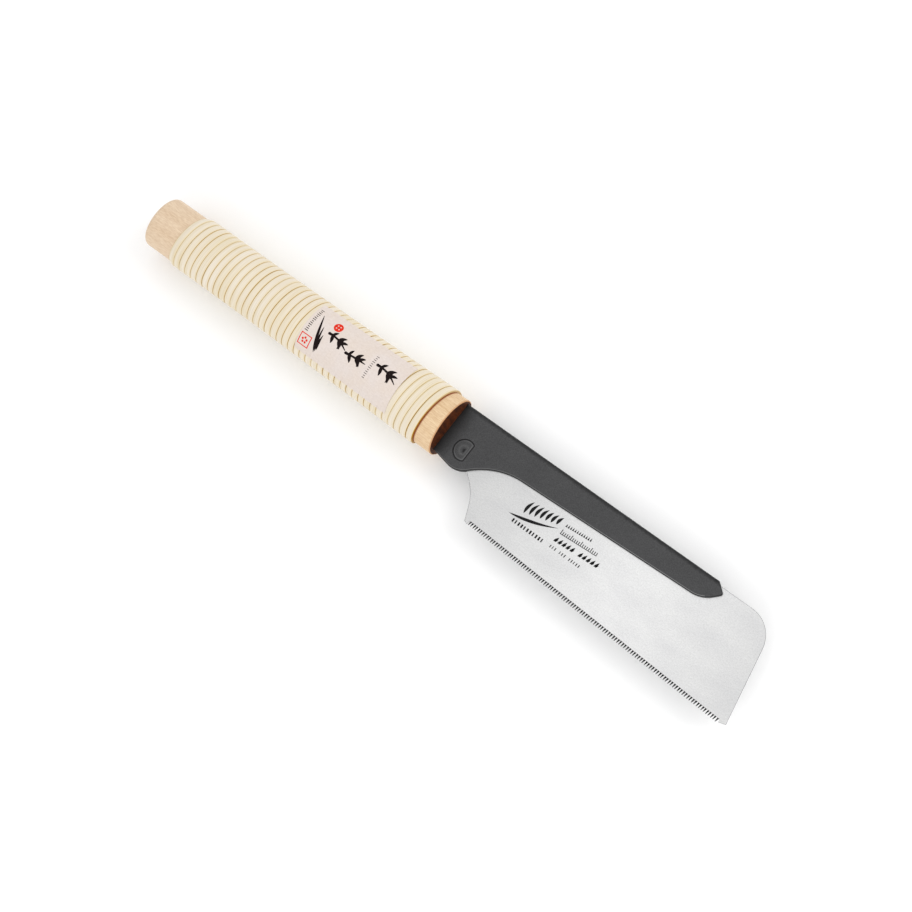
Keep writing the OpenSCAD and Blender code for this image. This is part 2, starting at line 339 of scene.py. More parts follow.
def paper_material():
    """Label paper; the attribute ink holds the printed black in red and the printed red in green."""
    n = Nodes("label_paper", linear(228, 216, 208), 0.8, specular=0.12)
    fibre = n.noise(n.coords((700, 1400, 1400)), 1.0, 4.0, 0.7)
    cloud = n.noise(n.coords((90, 90, 90)), 1.0, 2.0, 0.5)
    paper = n.ramp(fibre, [(0.3, linear(206, 193, 183)), (0.7, linear(222, 211, 203))])
    paper = n.mix(0.35, paper, n.ramp(cloud, [(0.35, linear(219, 204, 191)), (0.65, linear(221, 212, 210))]))
    ink = n.add("ShaderNodeVertexColor", layer_name="ink")
    split = n.add("ShaderNodeSeparateColor")
    n.link(ink.outputs["Color"], split.inputs[0])
    grit = n.math("MULTIPLY", n.math("SUBTRACT", n.noise(n.coords((1, 1, 1)), 3000.0, 2.0), 0.5), 0.5)
    for channel, colour in (("Red", linear(22, 12, 12)), ("Green", linear(214, 48, 28))):
        amount = n.math("ADD", split.outputs[channel], grit)
        cover = n.ramp(amount, [(0.42, 0.0), (0.56, 1.0)])
        paper = n.mix(cover, paper, colour)
    n.color(paper)
    n.bump(fibre, 0.2, 0.00003)
    return n.mat


def back_material():
    """Dark coat, with painted shade over the fold and in the corner at the handle, and a painted highlight
    and painted shade along its edges.
    """
    n = Nodes("dark_satin_coat", linear(62, 62, 63), 0.45, specular=0.35)
    fine = n.noise(n.coords((1, 1, 1)), 2600.0, 3.0, 0.6)
    cloud = n.noise(n.coords((60, 120, 60)), 1.0, 3.0, 0.5)
    tone = n.ramp(cloud, [(0.3, linear(52, 52, 53)), (0.7, linear(60, 60, 61))])
    tone = n.mix(0.5, tone, n.ramp(fine, [(0.35, linear(40, 40, 41)), (0.65, linear(76, 76, 77))]))
    place = n.coords((1000, 1000, 1000))
    x = n.math("SUBTRACT", n.axis(place, "X"), FRONT_X / MM)
    rise = n.math("MULTIPLY", x, (TOP_AT_NOSE - TOP_AT_HANDLE) / NOSE_X)
    top = n.math("ADD", rise, AXIS_Y / MM + TOP_AT_HANDLE)
    depth = n.math("SUBTRACT", top, n.axis(place, "Y"))
    mottle = n.math("MULTIPLY", n.math("SUBTRACT", n.noise(n.coords((1, 1, 1)), 700.0, 3.0), 0.5), 1.6)
    # painted shade: the rounded fold darkens towards the top edge, with a ragged lower border
    shade = n.ramp(n.math("DIVIDE", n.math("ADD", depth, mottle), 4.0, clamp=True), [(0.2, 0.95), (0.6, 0.0)])
    tone = n.mix(shade, tone, linear(8, 8, 9))
    # painted shade in the corner where the plate meets the handle's front face
    corner = n.ramp(n.math("DIVIDE", n.math("ADD", x, mottle), 9.0, clamp=True), [(0.0, 0.85), (0.9, 0.0)])
    tone = n.mix(corner, tone, linear(10, 10, 11))
    painted_highlight_shade = n.add("ShaderNodeVertexColor", layer_name="painted_highlight_shade")
    split = n.add("ShaderNodeSeparateColor")
    n.link(painted_highlight_shade.outputs["Color"], split.inputs[0])
    # painted highlight in red and painted shade in green, along the plate's edges and on the stud
    tone = n.mix(split.outputs["Red"], tone, linear(128, 128, 128))
    n.color(n.mix(split.outputs["Green"], tone, linear(16, 16, 17)))
    n.roughness(n.ramp(fine, [(0.3, 0.5), (0.7, 0.4)]))
    n.bump(fine, 0.15, 0.00002)
    return n.mat


def blade_material():
    """Fine brushed plate; the teeth and a thin line above them are darkened by hardening."""
    n = Nodes("brushed_plate", linear(222, 222, 222), 0.4, metallic=1.0)
    brush = n.noise(n.coords((420, 5200, 1)), 1.0, 3.0, 0.6)
    grain = n.noise(n.coords((1, 1, 1)), 1500.0, 3.0, 0.6)
    cloud = n.noise(n.coords((40, 90, 1)), 1.0, 3.0, 0.5)
    tone = n.ramp(n.mix(0.6, brush, grain), [(0.36, linear(218, 218, 218)), (0.64, linear(251, 251, 251))])
    tone = n.mix(0.4, tone, n.ramp(cloud, [(0.35, linear(228, 228, 229)), (0.65, linear(246, 246, 245))]))
    place = n.coords((1000, 1000, 1000))
    slope = (EDGE_END[1] - EDGE_START[1]) / (EDGE_END[0] - EDGE_START[0])
    run = n.math("SUBTRACT", n.axis(place, "X"), FRONT_X / MM + EDGE_START[0])
    edge_line = n.math("MULTIPLY", run, slope)
    height = n.math("SUBTRACT", n.axis(place, "Y"), n.math("ADD", edge_line, AXIS_Y / MM + EDGE_START[1]))
    burr = n.math("MULTIPLY", n.math("SUBTRACT", n.noise(n.coords((1, 1, 1)), 900.0, 2.0), 0.5), 0.2)
    # painted reflection: the plate is darker towards the heel and the toe and brightest in the middle, as a
    # broad highlight across it
    along = n.math("DIVIDE", n.math("SUBTRACT", n.axis(place, "X"), FRONT_X / MM), TOE_X, clamp=True)
    tone = n.mix(1.0, tone, n.ramp(along, [(0.12, 0.76), (0.6, 1.0), (1.0, 0.85)]), "MULTIPLY")
    hard = n.ramp(n.math("DIVIDE", n.math("ADD", height, burr), 4.0, clamp=True), [(0.5, 1.0), (0.55, 0.0)])
    toothed = n.math("MULTIPLY", n.math("GREATER_THAN", run, FIRST_GULLET),
                     n.math("LESS_THAN", run, FIRST_GULLET + TEETH * TOOTH_PITCH))
    n.color(n.mix(n.math("MULTIPLY", hard, toothed), tone, linear(30, 30, 32)))
    n.roughness(n.ramp(brush, [(0.3, 0.46), (0.7, 0.34)]))
    n.bump(n.mix(0.5, brush, grain), 0.1, 0.00001)
    return n.mat


def plain_steel_material(name, colour, roughness):
    n = Nodes(name, colour, roughness, metallic=1.0)
    scratch = n.noise(n.coords((300, 2500, 2500)), 1.0, 3.0, 0.6)
    n.color(n.ramp(scratch, [(0.3, tuple(c * 0.8 for c in colour[:3]) + (1,)), (0.7, colour)]))
    n.bump(scratch, 0.2, 0.00002)
    return n.mat


def ink_material():
    n = Nodes("printed_ink", linear(14, 14, 15), 0.6, specular=0.15)
    speck = n.noise(n.coords((1, 1, 1)), 2600.0, 2.0, 0.5)
    n.color(n.ramp(speck, [(0.3, linear(8, 8, 9)), (0.75, linear(26, 26, 27))]))
    return n.mat


# ---------------------------------------------------------------- mesh helpers
def piece(name, points, faces, materials, body, node=None, sharp=None, uvs=None):
    """A mesh object from points in mm; sharp is the edge angle in degrees above which shading breaks."""
    mesh = bpy.data.meshes.new(name)
    mesh.from_pydata([at(*p) for p in points], [], faces)
    for material in materials:
        mesh.materials.append(material)
    if uvs is not None:
        layer = mesh.uv_layers.new(name="UVMap")
        loop_vertex = np.zeros(len(mesh.loops), dtype=np.int32)
        mesh.loops.foreach_get("vertex_index", loop_vertex)
        layer.data.foreach_set("uv", np.asarray(uvs, dtype=np.float32)[loop_vertex].ravel())
    mesh.validate()
    if sharp is not None:
        mesh.shade_smooth()
        mesh.set_sharp_from_angle(angle=math.radians(sharp))
    mesh.update()
    obj = bpy.data.objects.new(name, mesh)
    bpy.context.scene.collection.objects.link(obj)
    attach(obj, body)
    if node:
        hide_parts(node)
    return obj


def skin_faces(rings, n, flip=False):
    """Quads through rings of n points each, closed round, with a cap at both ends."""
    faces = []
    for i in range(rings - 1):
        for j in range(n):
            k = (j + 1) % n
            quad = (i * n + j, (i + 1) * n + j, (i + 1) * n + k, i * n + k)
            faces.append(quad[::-1] if flip else quad)
    first = tuple(range(n))
    last = tuple((rings - 1) * n + j for j in range(n - 1, -1, -1))
    faces += [first[::-1], last[::-1]] if flip else [first, last]
    return faces


# ---------------------------------------------------------------- handle
def edge_inset(r, d):
    return 0.0 if d >= r else r - math.sqrt(r * r - (r - d) ** 2)


def build_wood_half(name, node, up, wood, stain):
    """One half of the handle, with the groove that its half of the tang lies in."""
    quarter = [1 - math.cos(math.radians(a)) for a in range(0, 91, 9)]
    stations = [-HANDLE_LEN + BUTT_ROUND * q for q in quarter]
    stations += list(np.arange(-HANDLE_LEN + 6, -3, 3.0))
    stations += [-FRONT_ROUND * q for q in reversed(quarter)]
    stations = sorted(set(round(s, 4) for s in stations) | {-TANG[0], -TANG[0] - 0.2})
    groove = BACK_T / 2 + SEAT_GAP
    rings = []
    for x in stations:
        inset = edge_inset(BUTT_ROUND, x + HANDLE_LEN) + edge_inset(FRONT_ROUND, -x)
        ring = [on_oval(x, -inset, a * up) for a in np.linspace(0, 180, 91)]
        share = min(1.0, -x / TANG[0])
        half = TANG[1] + (TANG[2] - TANG[1]) * share + SEAT_GAP
        depth = groove * up if x >= -TANG[0] else 0.0
        ring += [(x, -half, 0), (x, -half, depth), (x, half, depth), (x, half, 0)]
        rings.append(ring)
    n = len(rings[0])
    points = [p for ring in rings for p in ring]
    faces = skin_faces(len(rings), n, flip=up < 0)
    obj = piece(name, points, faces, [wood, stain], "holder", node, sharp=32)
    obj.data.polygons[len(faces) - 1].material_index = 1
    return obj


# ---------------------------------------------------------------- cane wrap
CROWN = 1.25              # thickness of a strip at its crown
STEPS_PER_TURN = 120


def between_strips(family, turn):
    """Sideways wander and half width of the gap at a helical place, for one of the two gaps."""
    wander = 0.24 * noise.noise(Vector((turn * 0.9, 7.3 * family, 0.4)))
    wander += 0.05 * noise.noise(Vector((turn * 6.0, 3.1 * family, 9.0)))
    open_share = noise.noise(Vector((turn * 0.8 + 4.0, 11.7 * family, 2.5)))
    gap = 0.015 + 0.075 * smoothstep(-0.1, 0.45, open_share)
    if family == 2:          # this gap has its free ends on the underside
        free = smoothstep(0, 0.15, turn) * smoothstep(TURNS - 1, TURNS - 1.15, turn)
        wander *= free
        gap = 0.04 + (gap - 0.04) * free
    return wander, gap


def strip_height(v, crown, turn, seed):
    """Thickness across a strip: v runs from -1 to 1, with softly rounded shoulders."""
    shoulder = (1 - min(1.0, abs(v)) ** 5) ** 0.5
    ripple = 0.015 * noise.noise(Vector((turn * 2.0, v * 1.5, seed)))
    return crown * (0.74 + 0.20 * shoulder + 0.06 * (1 - v * v)) + ripple


def build_strip(name, node, second, material):
    """A strip wound from underside to underside; the first starts with its butt side thinned."""
    offset = LEAD / 2 if second else 0.0
    across = [-1.0, -0.965, -0.91, -0.82, -0.65, -0.4, 0.0, 0.4, 0.65, 0.82, 0.91, 0.965, 1.0]
    n = len(across) + 2
    points, uvs = [], []
    steps = TURNS * STEPS_PER_TURN
    for i in range(steps + 1):
        turn = i / STEPS_PER_TURN
        left = WRAP_START + offset + turn * LEAD
        right = left + LEAD / 2
        wander, gap = between_strips(1, turn) if second else between_strips(2, max(0.0, turn - 1))
        left += wander + gap if second or turn > 1 else 0.0
        wander, gap = between_strips(2, turn) if second else between_strips(1, turn)
        right += wander - gap
        crown = CROWN - 0.04 + 0.04 * noise.noise(Vector((turn * 1.7, offset, 5.0)))
        ends = smoothstep(0, 1.5, min(i, steps - i)) * 0.4 + 0.6
        thin = 1.0 if second else smoothstep(0.7, 1.0, turn)
        angle = 270 - 360 * turn
        points.append(on_oval(left, 0.03, angle))
        for v in across:
            wedge = thin + (1 - thin) * (0.25 + 0.75 * min(1.0, (v + 1) / 1.5))
            x = left + (right - left) * (v + 1) / 2
            points.append(on_oval(x, strip_height(v, crown * ends * wedge, turn, offset), angle))
        points.append(on_oval(right, 0.03, angle))
        uvs += [(turn * 0.095, 0.5 + v / 2) for v in (-1.0, *across, 1.0)]
    faces = skin_faces(steps + 1, n)
    return piece(name, points, faces, [material], "holder", node, sharp=50, uvs=uvs)


# ---------------------------------------------------------------- label
LABEL_X = (mm_x(label_low[0]), mm_x(label_high[0]))
LABEL_ANGLES = (147.0, 39.0)   # long edges of the label round the handle, teeth side first
LABEL_T = 0.12
LABEL_MID_X = -57.0      # the label's width is worked out from the handle's girth here
PRINT_ANGLE = 92.0       # the print is measured round the handle from this angle


def gap_distance(x, angle):
    """Distance along x from the nearest gap between strips, on the upper side."""
    turns = (x - WRAP_START) / (LEAD / 2) - 2 * (270 - angle) / 360
    return abs(turns - round(turns)) * LEAD / 2


def stroke(x, w, points, radii):
    """Coverage of a brush stroke through points, whose half width runs through radii."""
    best = np.full(x.shape, -9.0)
    for (x0, w0), (x1, w1), r0, r1 in zip(points, points[1:], radii, radii[1:]):
        dx, dw = x1 - x0, w1 - w0
        t = np.clip(((x - x0) * dx + (w - w0) * dw) / (dx * dx + dw * dw), 0, 1)
        d = np.hypot(x - x0 - t * dx, w - w0 - t * dw)
        best = np.maximum(best, r0 + (r1 - r0) * t - d)
    return best


def curve_points(start, bend, stop, steps=8):
    """Points of a quadratic curve."""
    out = []
    for k in range(steps + 1):
        t = k / steps
        u, v, w = (1 - t) ** 2, 2 * t * (1 - t), t * t
        out.append(tuple(u * a + v * b + w * c for a, b, c in zip(start, bend, stop)))
    return out


def leaf(x, w, root, angle, length, width, bend=0.0):
    """A painted leaf: a stroke that swells from its root and runs out in a point."""
    a = math.radians(angle)
    tip = (root[0] + length * math.cos(a), root[1] + length * math.sin(a))
    dx, dw = tip[0] - root[0], tip[1] - root[1]
    middle = ((root[0] + tip[0]) / 2 - dw * bend, (root[1] + tip[1]) / 2 + dx * bend)
    radii = [0.12 + width * math.sin(math.pi * (k / 8) ** 0.7) for k in range(8)] + [0.02]
    return stroke(x, w, curve_points(root, middle, tip), radii)


def tick_row(x, w, start, count, pitch, length, width):
    """A column of small marks that runs round the label."""
    best = np.full(x.shape, -9.0)
    for k in range(count):
        size = length * (1.0, 0.55, 0.8)[k % 3]
        w0 = start[1] - pitch * k
        ends = [(start[0] - size / 2, w0), (start[0] + size / 2, w0)]
        best = np.maximum(best, stroke(x, w, ends, [width, width]))
    return best


# leaves of a sprig: place along its stem, angle, length, width
SPRIG_LEAVES = ((0.12, 62, 3.4, 0.5), (0.2, -58, 4.2, 0.62), (0.42, 48, 4.6, 0.6), (0.46, -40, 5.0, 0.66),
                (0.62, 96, 3.0, 0.45), (0.66, -78, 3.6, 0.5), (0.72, 30, 3.9, 0.5))


def label_ink(x, w):
    """Black and red ink at x along the handle and w round it from PRINT_ANGLE, both in mm."""
    black = tick_row(x, w, (-86.2, 10.2), 13, 1.1, 1.7, 0.2)
    black = np.maximum(black, tick_row(x, w, (-47.0, 6.6), 12, 1.12, 1.5, 0.15))
    # three reeds drawn slantwise beside the marks
    for k, (length, width) in enumerate(((20.5, 0.62), (13.5, 0.5), (8.5, 0.5))):
        root = (-77.2 + 0.5 * k, -10.6 + 1.0 * k)
        black = np.maximum(black, leaf(x, w, root, 109 - 7 * k, length, width, 0.05 * (k - 1)))
    # three sprigs in a row: each has a short stem and leaves that fan out to both sides
    sprigs = (((-75.0, 2.2), -12, 1.0), ((-61.8, -1.0), 4, 0.98), ((-44.4, 3.2), -14, 1.08))
    for (rx, rw), turn, size in sprigs:
        reach = 12.2 * size
        stem_end = (rx + reach, rw + reach * math.sin(math.radians(turn)))
        stem = curve_points((rx, rw), (rx + 6 * size, rw + 0.8), stem_end, 6)
        black = np.maximum(black, stroke(x, w, stem, [0.75, 0.62, 0.5, 0.55, 0.5, 0.4, 0.2]))
        for along, angle, length, width in SPRIG_LEAVES:
            px, pw = stem[round(along * 6)]
            frond = leaf(x, w, (px, pw), angle + turn, length * size, width * 1.3, 0.12)
            black = np.maximum(black, frond)
    # a square seal that holds a blossom of round petals
    sx, sw, half = x + 84.3, w + 7.9, 3.1
    red = 0.26 - np.abs(np.maximum(np.abs(sx), np.abs(sw)) - half)
    for k in range(5):
        a = 2 * math.pi * (k + 0.25) / 5
        petal = 0.62 - np.hypot(sx - 1.3 * math.cos(a), sw - 1.3 * math.sin(a))
        red = np.maximum(red, petal)
    # a small round seal with four bare dots
    sx, sw = x + 73.4, w - 7.3
    disc = 2.5 - np.hypot(sx, sw)
    for dot_x, dot_w in ((-0.8, -0.8), (0.8, -0.8), (0.8, 0.8), (-0.8, 0.8)):
        disc = np.minimum(disc, np.hypot(sx - dot_x, sw - dot_w) - 0.36)
    red = np.maximum(red, disc)
    return black, red


def build_label(material):
    """Paper that lies over the strips, dips into the gaps between them and keeps its own print."""
    cell = 0.16
    nx = round((LABEL_X[1] - LABEL_X[0]) / cell)
    na = round(math.radians(LABEL_ANGLES[0] - LABEL_ANGLES[1]) * wood_half(LABEL_MID_X) / cell)
    xs = np.linspace(LABEL_X[0], LABEL_X[1], nx + 1)
    angles = np.linspace(LABEL_ANGLES[0], LABEL_ANGLES[1], na + 1)
    tops, bottoms, w_all = [], [], []
    arc_scale = math.radians(1) * (wood_half(LABEL_MID_X) + CROWN)
    for x in xs:
        for a in angles:
            edge = min(abs(a - LABEL_ANGLES[0]), abs(a - LABEL_ANGLES[1]))
            sag = 0.05 + 0.16 * (1 - smoothstep(0, 16, edge))
            dip = sag * math.exp(-(gap_distance(x, a) / 0.45) ** 2)
            frayed = 0.25 * noise.noise(Vector((x * 0.8, a * 0.05, 1.0)))
            ragged_x = x + 0.12 * noise.noise(Vector((a * 0.25, x * 0.01, 4.0)))
            ragged_a = a + frayed
            lift = CROWN + 0.02 - dip
            tops.append(on_oval(ragged_x, lift + LABEL_T, ragged_a))
            bottoms.append(on_oval(ragged_x, lift, ragged_a))
            w_all.append((PRINT_ANGLE - a) * arc_scale)
    count = len(tops)
    row = na + 1
    faces = []
    for i in range(nx):
        for j in range(na):
            p = i * row + j
            faces.append((p, p + row, p + row + 1, p + 1))
            faces.append((count + p + 1, count + p + row + 1, count + p + row, count + p))
    rim = [j for j in range(row)] + [i * row + na for i in range(1, nx + 1)]
    rim += [nx * row + j for j in range(na - 1, -1, -1)] + [i * row for i in range(nx - 1, 0, -1)]
    for p, q in zip(rim, rim[1:] + rim[:1]):
        faces.append((p, q, count + q, count + p))
    obj = piece("paper_label", tops + bottoms, faces, [material], "holder", "label", sharp=50)
    x_arr = np.array([p[0] for p in tops])
    w_arr = np.array(w_all)
    black, red = label_ink(x_arr, w_arr)
    values = np.zeros((2 * count, 4), dtype=np.float32)
    values[:, 3] = 1
    soft = 0.22
    values[:count, 0] = np.clip(0.5 + black / soft, 0, 1)
    values[:count, 1] = np.clip(0.5 + red / soft, 0, 1)
    layer = obj.data.color_attributes.new(name="ink", type="FLOAT_COLOR", domain="POINT")
    layer.data.foreach_set("color", values.ravel())
    return obj


# ---------------------------------------------------------------- folded back
def top_edge(x):
    return TOP_AT_HANDLE + (TOP_AT_NOSE - TOP_AT_HANDLE) * x / NOSE_X


def build_back(material):
    """Folded sheet: a round fold along the top, soft edges, and a slot for the blade."""
    tang_len, tang_front, tang_end = TANG
    corners = [
        (0, TOP_AT_HANDLE, 0), (0, tang_front, 0), (-tang_len, tang_end, 2), (-tang_len, -tang_end, 2),
        (0, -tang_front, 0), (0, -NECK_DEPTH, 0),
        (STUD_X + 3.2, -NECK_DEPTH - 3, 12), (STUD_X + 18.3, -1.8, 38.2),
        (NOSE_X - 1.6, 3, 15), (NOSE_X + 5.5, 10.5, 1.2), (NOSE_X, TOP_AT_NOSE, 0.6)]
    outline = divided(rounded(corners, 2.0), 1.2)
    n = len(outline)
    edge_r = 0.7
    fold_r = BACK_T / 2
    steps = 10
    radii, normals = [], []
    for i, (x, y) in enumerate(outline):
        x0, y0 = outline[i - 1]
        x1, y1 = outline[(i + 1) % n]
        ax, ay = unit(x - x0, y - y0)
        bx, by = unit(x1 - x, y1 - y)
        tx, ty = unit(ax + bx, ay + by)
        on_top = y > top_edge(x) - 0.02 and x > 0.01
        near_end = min(smoothstep(0.3, 3.0, NOSE_X - 0.5 - x), smoothstep(-1, 0.0, x)) if on_top else 0.0
        low_r = 0.12 + (edge_r - 0.12) * smoothstep(0, 2.5, x)
        radii.append(low_r + (fold_r - low_r) * near_end)
        normals.append((-ty, tx))          # the outline runs anticlockwise, so this points inside
    points = []
    for side in (1, -1):
        for k in range(steps + 1):
            a = math.radians(90 * (steps - k if side > 0 else k) / steps)
            for (x, y), r, (nx, ny) in zip(outline, radii, normals):
                inset = r * (1 - math.cos(a))
                z = BACK_T / 2 - r + r * math.sin(a)
                points.append((x + nx * inset, y + ny * inset, side * z))
    rings = 2 * (steps + 1)
    faces = skin_faces(rings, n)
    obj = piece("folded_back", points, faces, [material], "holder", "back", sharp=28)
    weld = bmesh.new()
    weld.from_mesh(obj.data)
    bmesh.ops.remove_doubles(weld, verts=weld.verts, dist=1e-7)
    bmesh.ops.recalc_face_normals(weld, faces=weld.faces)
    weld.to_mesh(obj.data)
    weld.free()
    far, wall = NOSE_X + 12, (BACK_T - SLOT_W) / 2
    slot = [(SLOT_START, -40), (far, -40)]
    slot += [(x, top_edge(x) - wall) for x in (far, SLOT_START)]
    cut_block(obj, slot, -SLOT_W / 2, SLOT_W / 2)
    moat = [(STUD_X + px, STUD_Y + py) for px, py in d_outline(STUD_R + 0.5, STUD_FLAT + 0.5, 72)]
    for z0, z1 in ((BACK_T / 2 - 0.3, BACK_T), (-BACK_T, -BACK_T / 2 + 0.3)):
        cut_block(obj, moat, z0, z1)
    obj.data.shade_smooth()
    obj.data.set_sharp_from_angle(angle=math.radians(28))
    # painted highlight where the flat turns into the rounded edge, painted shade on the side
    count = len(obj.data.vertices)
    values = np.zeros((count, 4), dtype=np.float32)
    for k, vertex in enumerate(obj.data.vertices):
        x, y, z = mm_x(vertex.co.x), mm_y(vertex.co.y), abs(vertex.co.z - MID_Z) / MM
        drop = BACK_T / 2 - z
        low = y < top_edge(x) - 3
        near_stud = math.hypot(x - STUD_X, y - STUD_Y) < STUD_R + 1 and drop > 0.1
        at_nose = x > NOSE_X - 1
        line = smoothstep(0.0001, 0.01, drop) * smoothstep(0.09, 0.03, drop)
        line *= smoothstep(1.5, 4, x) * (0.5 + 0.5 * smoothstep(30, 110, x))
        values[k, 0] = line if low and not at_nose else 0.0
        values[k, 1] = smoothstep(0.03, 0.1, drop) if low or near_stud or at_nose else 0.0
    layer = obj.data.color_attributes.new(name="painted_highlight_shade", type="FLOAT_COLOR", domain="POINT")
    layer.data.foreach_set("color", values.ravel())
    return obj


def cut_block(obj, outline, z0, z1):
    """Cuts a straight-sided block out of a piece."""
    n = len(outline)
    points = [(x, y, z0) for x, y in outline] + [(x, y, z1) for x, y in outline]
    faces = [tuple(range(n - 1, -1, -1)), tuple(range(n, 2 * n))]
    faces += [(i, (i + 1) % n, n + (i + 1) % n, n + i) for i in range(n)]
    mesh = bpy.data.meshes.new("cutter")
    mesh.from_pydata([at(*p) for p in points], [], faces)
    cutter = bpy.data.objects.new("cutter", mesh)
    bpy.context.scene.collection.objects.link(cutter)
    modifier = obj.modifiers.new("cut", "BOOLEAN")
    modifier.operation = "DIFFERENCE"
    modifier.solver = "EXACT"
    modifier.object = cutter
    graph = bpy.context.evaluated_depsgraph_get()
    cut = bpy.data.meshes.new_from_object(obj.evaluated_get(graph))
    obj.modifiers.clear()
    old = obj.data
    obj.data = cut
    bpy.data.meshes.remove(old)
    bpy.data.objects.remove(cutter)
    bpy.data.meshes.remove(mesh)


def d_outline(r, flat, count):
    """A circle of radius r cut off by a flat on its +X side, anticlockwise, as a star round its centre."""
    corner = math.degrees(math.acos(min(1.0, flat / r)))
    out = []
    for k in range(count):
        a = -180 + 360 * k / count
        radius = min(r, flat / math.cos(math.radians(a))) if abs(a) < corner else r
        out.append((radius * math.cos(math.radians(a)), radius * math.sin(math.radians(a))))
    return out


def build_stud(material):
    """The staked stud: a D-shaped pin with softened heads and a punch mark on each."""
    count = 96
    half = (stud_high[2] - stud_low[2]) / 2 / MM
    # share of the outline's size, inset in mm, height below the head
    profile = [(1, 0.0, 0.45), (1, 0.04, 0.3), (1, 0.16, 0.2), (1, 0.4, 0.12), (1, 0.9, 0.05),
               (0.62, 0, 0.02), (0.45, 0, 0.0), (0.28, 0, 0.0), (0.21, 0, 0.04), (0.15, 0, 0.3),
               (0.08, 0, 0.5), (0.01, 0, 0.56)]
    rows = [(s, i, half - d) for s, i, d in reversed(profile)] + [(s, i, d - half) for s, i, d in profile]
    points = []
    for share, inset, z in rows:
        for px, py in d_outline(STUD_R - inset, STUD_FLAT - inset, count):
            points.append((STUD_X + px * share, STUD_Y + py * share, z))
    faces = skin_faces(len(rows), count, flip=True)
    obj = piece("stud_head", points, faces, [material], "holder", "hook_stud", sharp=40)
    values = np.zeros((len(points), 4), dtype=np.float32)
    # painted highlight on the head's bevelled edge and the punch mark's lip, painted shade in the punch mark
    # and on the head's side in the groove
    for r, (share, inset, z) in enumerate(rows):
        rim = share == 1 and 0.3 < inset < 0.5
        lip = 0.3 < share < 0.5
        sunk = share < 0.16 or (share == 1 and inset < 0.1)
        values[r * count:(r + 1) * count, 0] = 0.25 if rim else 0.15 if lip else 0.0
        values[r * count:(r + 1) * count, 1] = 0.9 if sunk else 0.0
    layer = obj.data.color_attributes.new(name="painted_highlight_shade", type="FLOAT_COLOR", domain="POINT")
    layer.data.foreach_set("color", values.ravel())
    return obj


# ---------------------------------------------------------------- blade
def blade_edge():
    """Unit vectors along the tooth line towards the toe, and from it away from the plate."""
    ex, ey = unit(EDGE_END[0] - EDGE_START[0], EDGE_END[1] - EDGE_START[1])
    return (ex, ey), (ey, -ex)


def edge_point(along, below):
    (ex, ey), (dx, dy) = blade_edge()
    return EDGE_START[0] + ex * along + dx * below, EDGE_START[1] + ey * along + dy * below


def hook_outline():
    """The round seat for the stud, the way out of it and the lobe round both."""
    lobe_r, lobe_end = 8.6, 313.2        # the lobe runs into the plate at this angle
    seat_r, gap = STUD_R + 0.08, 0.03
    release = 115.0                      # angle of the way out
    centre = (STUD_X, STUD_Y)

    def at_offset(r, offset):
        return release - math.degrees(math.asin(offset / r))

    right, left = STUD_FLAT + gap, -STUD_R - gap
    points = arc(centre, lobe_r, math.degrees(math.acos(PLATE_REACH / lobe_r)), at_offset(lobe_r, right), 8)
    points += arc(centre, seat_r, at_offset(seat_r, right), at_offset(seat_r, left) - 360, 60)
    points += arc(centre, lobe_r, at_offset(lobe_r, left), lobe_end, 36)
    return points


